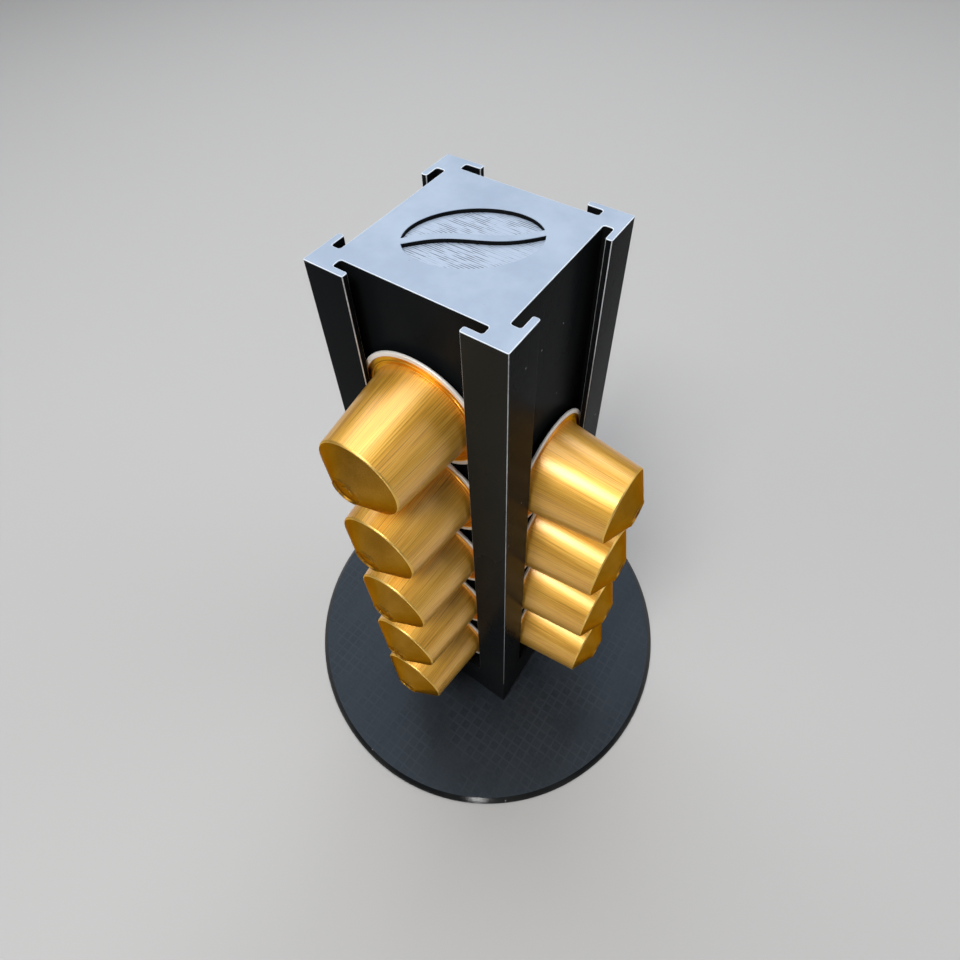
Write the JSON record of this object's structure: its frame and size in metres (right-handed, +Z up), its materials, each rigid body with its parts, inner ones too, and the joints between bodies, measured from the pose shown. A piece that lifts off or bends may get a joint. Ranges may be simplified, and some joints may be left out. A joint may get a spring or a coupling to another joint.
{
  "type": "coffee capsule dispenser",
  "caption": "Square tower with an open T-slot channel in each side, in which coffee capsules hang by their rims one above the other, on a round base disc.",
  "frame": {"origin": "under the middle of the base disc, on the surface that the rubber pads stand on", "axes": "+Z up the tower; -Y out of the channel that holds the taller column of capsules, +X out of the channel that holds the shorter one"},
  "size_m": [0.15, 0.15, 0.2112],
  "materials": {
    "black_print": "satin",
    "pale_print": "satin",
    "base_print": "satin",
    "steel": "satin",
    "rubber": "matte",
    "gold_aluminium": "satin",
    "lid_foil": "gloss",
    "ground_coffee": "matte"
  },
  "bodies": {
    "tower": {"tower_body": "black_print", "top_plate": "pale_print", "base_disc": "base_print", "base_screw_front_left": "steel", "base_screw_front_right": "steel", "base_screw_back_left": "steel", "base_screw_back_right": "steel", "foot_pad_front_left": "rubber", "foot_pad_front_right": "rubber", "foot_pad_back_left": "rubber", "foot_pad_back_right": "rubber"},
    "left_capsule_1": {"left_capsule_1_cup": "gold_aluminium", "left_capsule_1_lid": "lid_foil", "left_capsule_1_coffee": "ground_coffee"},
    "left_capsule_2": {"left_capsule_2_cup": "gold_aluminium", "left_capsule_2_lid": "lid_foil", "left_capsule_2_coffee": "ground_coffee"},
    "left_capsule_3": {"left_capsule_3_cup": "gold_aluminium", "left_capsule_3_lid": "lid_foil", "left_capsule_3_coffee": "ground_coffee"},
    "left_capsule_4": {"left_capsule_4_cup": "gold_aluminium", "left_capsule_4_lid": "lid_foil", "left_capsule_4_coffee": "ground_coffee"},
    "left_capsule_5": {"left_capsule_5_cup": "gold_aluminium", "left_capsule_5_lid": "lid_foil", "left_capsule_5_coffee": "ground_coffee"},
    "right_capsule_1": {"right_capsule_1_cup": "gold_aluminium", "right_capsule_1_lid": "lid_foil", "right_capsule_1_coffee": "ground_coffee"},
    "right_capsule_2": {"right_capsule_2_cup": "gold_aluminium", "right_capsule_2_lid": "lid_foil", "right_capsule_2_coffee": "ground_coffee"},
    "right_capsule_3": {"right_capsule_3_cup": "gold_aluminium", "right_capsule_3_lid": "lid_foil", "right_capsule_3_coffee": "ground_coffee"},
    "right_capsule_4": {"right_capsule_4_cup": "gold_aluminium", "right_capsule_4_lid": "lid_foil", "right_capsule_4_coffee": "ground_coffee"}
  },
  "joints": [
    {"name": "left_capsule_1_lift", "type": "slide", "parent": "tower", "child": "left_capsule_1", "axis": [0, 0, 1], "range_m": [0, 0.19]},
    {"name": "left_capsule_2_lift", "type": "slide", "parent": "left_capsule_1", "child": "left_capsule_2", "axis": [0, 0, 1], "range_m": [0, 0.157]},
    {"name": "left_capsule_3_lift", "type": "slide", "parent": "left_capsule_2", "child": "left_capsule_3", "axis": [0, 0, 1], "range_m": [0, 0.124]},
    {"name": "left_capsule_4_lift", "type": "slide", "parent": "left_capsule_3", "child": "left_capsule_4", "axis": [0, 0, 1], "range_m": [0, 0.091]},
    {"name": "left_capsule_5_lift", "type": "slide", "parent": "left_capsule_4", "child": "left_capsule_5", "axis": [0, 0, 1], "range_m": [0, 0.058]},
    {"name": "right_capsule_1_lift", "type": "slide", "parent": "tower", "child": "right_capsule_1", "axis": [0, 0, 1], "range_m": [0, 0.19]},
    {"name": "right_capsule_2_lift", "type": "slide", "parent": "right_capsule_1", "child": "right_capsule_2", "axis": [0, 0, 1], "range_m": [0, 0.157]},
    {"name": "right_capsule_3_lift", "type": "slide", "parent": "right_capsule_2", "child": "right_capsule_3", "axis": [0, 0, 1], "range_m": [0, 0.124]},
    {"name": "right_capsule_4_lift", "type": "slide", "parent": "right_capsule_3", "child": "right_capsule_4", "axis": [0, 0, 1], "range_m": [0, 0.091]}
  ]
}
